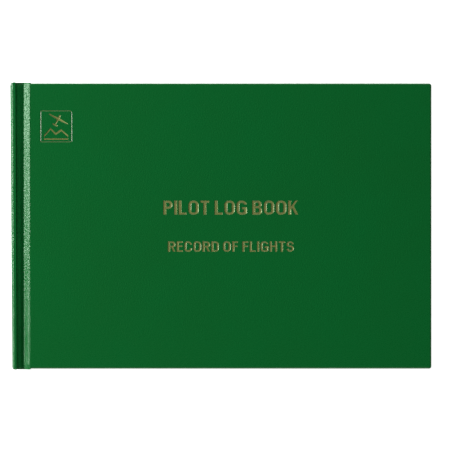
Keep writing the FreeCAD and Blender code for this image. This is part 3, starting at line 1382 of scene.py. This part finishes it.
    def sailplane(self, span: float) -> bmesh.types.BMesh:
        """Draw a sailplane flat: long tapered wings, a slim body and a small tail.

        Args:
            span: The wing span.

        Returns:
            The outline's faces, centred on the origin.
        """
        shape = bmesh.new()
        half = span / 2
        nose = [(0, 0.50), (0.06, 0.47), (0.09, 0.40), (0.1, 0.3), (0.1, 0.19)]
        wing = [(0.55, 0.165), (0.97, 0.14), (1.0, 0.09), (0.97, 0.03), (0.5, -0.01), (0.09, -0.03)]
        boom = [(0.07, -0.2), (0.06, -0.48)]
        tail = [(0.25, -0.49), (0.28, -0.555), (0.25, -0.62), (0, -0.64)]
        ahead = 0.06
        outline = [shape.verts.new((x * half, (y + ahead) * half, 0)) for x, y in nose + wing + boom + tail]
        shape.faces.new(outline)
        half_outline = [*shape.faces, *shape.edges, *shape.verts]
        bmesh.ops.mirror(shape, geom=half_outline, axis="X", merge_dist=TOUCHING)
        seam = [edge for edge in shape.edges if len(edge.link_faces) == 2]
        bmesh.ops.dissolve_edges(shape, edges=seam, use_verts=False)
        return shape

    def build(self, cover: bpy.types.Object) -> None:
        """Build all the foil.

        Args:
            cover: The front cover's leatherette, which it is pressed into.
        """
        self.emblem()
        self.line("title", self.title, "title_foil")
        self.line("second_line", self.subtitle, "subtitle_foil")
        self.press_into(cover)


# ---------------------------------------------------------------- the text block


@dataclass
class TextBlock:
    """The sewn sections, the head and tail bands and the leaves that turn."""

    finishes: Finishes
    sections: int = 8
    sheets_per_section: int = 4
    sheet_share: float = 0.86
    log_leaves: int = 4
    trim_seed: int = 7
    trim_play: float = 0.05 * MM
    gutter_start: float = 0.6 * MM
    gutter_end: float = 8.0 * MM
    leaf_steps: tuple[int, int] = (90, 4)
    leaf_crowding: float = 2.0
    fold_steps: int = 6
    band_radius: float = 0.8 * MM
    band_skirt: float = 0.3 * MM
    band_turns: int = 13
    thread_share: float = 0.55

    def section(self, number: int, chance: random.Random) -> bpy.types.Object:
        """Build one section as nested folded sheets.

        Args:
            number: The section, from 1 at the back.
            chance: The seeded play of the trimmed edges.

        Returns:
            The piece.
        """
        node = f"section_{number}"
        low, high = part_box(node)
        shape = bmesh.new()
        pitch = (high.z - low.z) / (2 * self.sheets_per_section)
        middle = (low.z + high.z) / 2
        paper = pitch * self.sheet_share
        fold_x = low.x + (self.sheets_per_section - 0.5) * pitch
        for sheet in range(self.sheets_per_section):
            radius = (sheet + 0.5) * pitch
            bottom = middle - radius - paper / 2
            leg = bmesh.ops.create_grid(
                shape,
                x_segments=1,
                y_segments=1,
                size=0.5,
                matrix=Matrix.Translation((fold_x, (low.y + high.y) / 2, bottom + paper / 2))
                @ Matrix.Rotation(math.pi / 2, 4, "Y")
                @ Matrix.Diagonal((paper, high.y - low.y - chance.uniform(0, 1) * self.trim_play, 1, 1)),
            )
            face = leg["verts"][0].link_faces[0]
            turned = bmesh.ops.spin(
                shape,
                geom=[face, *face.edges, *face.verts],
                cent=(fold_x, 0, middle),
                axis=(0, 1, 0),
                angle=math.pi,
                steps=self.fold_steps,
                use_duplicate=False,
            )
            last = [item for item in turned["geom_last"] if isinstance(item, bmesh.types.BMFace)]
            for end in (face, last[0]):
                reach = high.x - fold_x - chance.uniform(0, 1) * self.trim_play
                pulled = bmesh.ops.extrude_face_region(shape, geom=[end])
                verts = [item for item in pulled["geom"] if isinstance(item, bmesh.types.BMVert)]
                bmesh.ops.translate(shape, verts=verts, vec=(reach, 0, 0))
        bmesh.ops.recalc_face_normals(shape, faces=shape.faces)
        piece = finish_piece(f"{node}_sheets", shape, [self.finishes.edges], ROOT, "log_paper")
        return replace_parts(piece, node)

    def band(self, node: str) -> bpy.types.Object:
        """Build a head or tail band: a core wrapped with threads of two colours, on its skirt.

        Args:
            node: The band's node.

        Returns:
            The piece.
        """
        low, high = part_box(node)
        outer_y = high.y if high.y > 0 else low.y
        centre = Vector((high.x - self.band_radius, outer_y - math.copysign(self.band_radius, outer_y), 0))
        shape = bmesh.new()
        pitch = (high.z - low.z) / self.band_turns
        thread = pitch * self.thread_share
        for turn in range(self.band_turns):
            z = low.z + pitch * (turn + 0.5)
            around = bmesh.ops.create_circle(
                shape,
                cap_ends=False,
                segments=6,
                radius=thread,
                matrix=Matrix.Translation((high.x - thread, centre.y, z))
                @ Matrix.Rotation(math.pi / 2, 4, "X"),
            )["verts"]
            loops = list({edge for vert in around for edge in vert.link_edges})
            bmesh.ops.spin(
                shape,
                geom=[*around, *loops],
                cent=(centre.x, centre.y, z),
                axis=(0, 0, 1),
                angle=math.tau,
                steps=18,
                use_merge=True,
                use_duplicate=False,
            )
            for face in shape.faces:
                if face.material_index == 0 and abs(face.calc_center_median().z - z) < pitch:
                    face.material_index = 1 if turn % 2 else 0
        add_block(shape, low, Vector((low.x + self.band_skirt, high.y, high.z)))
        bmesh.ops.remove_doubles(shape, verts=shape.verts, dist=TOUCHING)
        bmesh.ops.recalc_face_normals(shape, faces=shape.faces)
        materials = [self.finishes.band_white, self.finishes.band_green]
        piece = finish_piece(f"{node}_silk", shape, materials, ROOT, "striped_band")
        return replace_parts(piece, node)

    def leaf(self, node: str, side: Side, material: bpy.types.Material, slot: str) -> bpy.types.Object:
        """Build one leaf, flat, from its bound fold to its fore-edge.

        Args:
            node: The leaf's node.
            side: The cover on whose side it lies.
            material: Its paper.
            slot: The record's material slot.

        Returns:
            The piece.
        """
        low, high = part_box(node)
        folds = f"{side.value}_bound_folds"
        start = (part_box(folds)[0].x, low.y)
        shape = bmesh.new()
        add_sheet(shape, start, (high.x, high.y), self.leaf_steps, lambda x, y: high.z, self.leaf_crowding)
        thicken(shape, high.z - low.z)
        piece = finish_piece(f"{node}_page", shape, [material], None, slot)
        map_from_above(piece)
        start = (HINGE_X + self.gutter_start, 0, high.z)
        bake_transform(piece)
        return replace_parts(piece, node, folds)

    def build(self) -> None:
        """Build the whole text block."""
        chance = random.Random(self.trim_seed)
        for number in range(1, self.sections + 1):
            self.section(number, chance)
        for node in ("headband", "tailband"):
            self.band(node)
        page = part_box("log_leaf_1")
        form = PrintedPage(
            "printed_log_page",
            (20.0, 22.0, 18.0, 16.0, 22.0, 22.0, 15.0, 15.0, 15.0, 31.0),
            rows=14,
            row_mm=7.6,
        ).make(page)
        front_page = PrintedPage(
            "printed_title_page",
            (196.0,),
            rows=3,
            row_mm=34.0,
            heading_mm=24.0,
            tint="#efebdd",
        ).make(page)
        self.leaf("front_flyleaf", Side.FRONT, self.finishes.free_endpaper, "endpaper")
        self.leaf("title_leaf", Side.FRONT, front_page, "log_paper")
        for number in range(1, self.log_leaves + 1):
            self.leaf(f"log_leaf_{number}", Side.FRONT, form, "log_paper")
        self.leaf("last_leaf", Side.BACK, form, "log_paper")
        self.leaf("back_flyleaf", Side.BACK, self.finishes.free_endpaper, "endpaper")


# ---------------------------------------------------------------- the studio


@dataclass
class Studio:
    """A pale table, a soft light low on the left, weak fills, and the camera straight above."""

    floor_half: float = 6.0
    lens_mm: float = 250.0
    sensor_mm: float = 36.0
    view_width: float = 237.5 * MM
    view_x: float = 2.5 * MM
    key_place: Vector = field(default_factory=lambda: Vector((-1.3, 0.27, 0.75)))
    key_size: tuple[float, float] = (0.62, 0.75)
    key_power: float = 34.0
    fill_place: Vector = field(default_factory=lambda: Vector((0.3, 1.15, 0.65)))
    fill_size: tuple[float, float] = (1.0, 0.4)
    head_power: float = 3.15
    tail_power: float = 3.85
    room_light: float = 0.03
    backdrop: float = 0.95
    floor_glow: float = 0.88

    def floor(self) -> None:
        """Lay the pale floor."""
        shape = bmesh.new()
        bmesh.ops.create_grid(shape, x_segments=1, y_segments=1, size=self.floor_half)
        mesh = bpy.data.meshes.new("floor")
        shape.to_mesh(mesh)
        shape.free()
        table = bpy.data.objects.new("floor", mesh)
        bpy.context.scene.collection.objects.link(table)
        material, _, shader = start_material("white_paper_floor")
        shader.inputs["Base Color"].default_value = (0.9, 0.9, 0.9, 1)
        shader.inputs["Roughness"].default_value = 0.9
        shader.inputs["Specular IOR Level"].default_value = 0.0
        shader.inputs["Emission Color"].default_value = (1, 1, 1, 1)
        shader.inputs["Emission Strength"].default_value = self.floor_glow
        mesh.materials.append(material)

    def light(self, name: str, place: Vector, size: tuple[float, float], power: float) -> None:
        """Hang one soft light that points at the book.

        Args:
            name: The light's name.
            place: Where it hangs.
            size: Its width and length.
            power: Its power in watts.
        """
        lamp = bpy.data.lights.new(name, "AREA")
        lamp.shape = "RECTANGLE"
        lamp.size, lamp.size_y = size
        lamp.energy = power
        holder = bpy.data.objects.new(name, lamp)
        turn = (-place).to_track_quat("-Z", "Y").to_matrix().to_4x4()
        holder.matrix_world = Matrix.Translation(place) @ turn
        bpy.context.scene.collection.objects.link(holder)

    def world(self) -> None:
        """Set a pale backdrop that lights the book only a little."""
        world = bpy.data.worlds.new("studio")
        world.use_nodes = True
        tree = world.node_tree
        tree.nodes.clear()
        seen = add_node(tree, "ShaderNodeLightPath").outputs["Is Camera Ray"]
        shown = {0: seen, 1: 0.0, 2: 1.0, 3: self.room_light, 4: self.backdrop}
        strength = add_node(tree, "ShaderNodeMapRange", shown)
        light = add_node(
            tree,
            "ShaderNodeBackground",
            {"Color": (1, 1, 1, 1), "Strength": strength.outputs[0]},
        )
        add_node(tree, "ShaderNodeOutputWorld", {"Surface": light.outputs[0]})
        bpy.context.scene.world = world

    def camera(self, top: float) -> None:
        """Set the camera straight above the cover.

        Args:
            top: The cover's height.
        """
        data = bpy.data.cameras.new("camera")
        data.lens = self.lens_mm
        data.sensor_width = self.sensor_mm
        data.clip_end = 50.0
        camera = bpy.data.objects.new("camera", data)
        distance = self.view_width * self.lens_mm / self.sensor_mm
        camera.matrix_world = Matrix.Translation((self.view_x, 0, top + distance))
        bpy.context.scene.collection.objects.link(camera)
        bpy.context.scene.camera = camera

    def build(self, top: float) -> None:
        """Build the studio.

        Args:
            top: The cover's height.
        """
        self.floor()
        self.world()
        self.light("key", self.key_place, self.key_size, self.key_power)
        self.light("fill_head", self.fill_place, self.fill_size, self.head_power)
        self.light("fill_tail", self.fill_place * Vector((1, -1, 1)), self.fill_size, self.tail_power)
        self.camera(top)
        bpy.context.scene.view_settings.view_transform = "Standard"


def main() -> None:
    """Build the book and its studio in order."""
    logging.basicConfig(level=logging.INFO, format="%(name)s: %(message)s")
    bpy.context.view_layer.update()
    finishes = Finishes()
    finishes.dress_frame()
    case = Case(finishes)
    Foil(finishes).build(case.build())
    TextBlock(finishes).build()
    Studio().build(case.thickness)


if __name__ == "__main__":
    main()
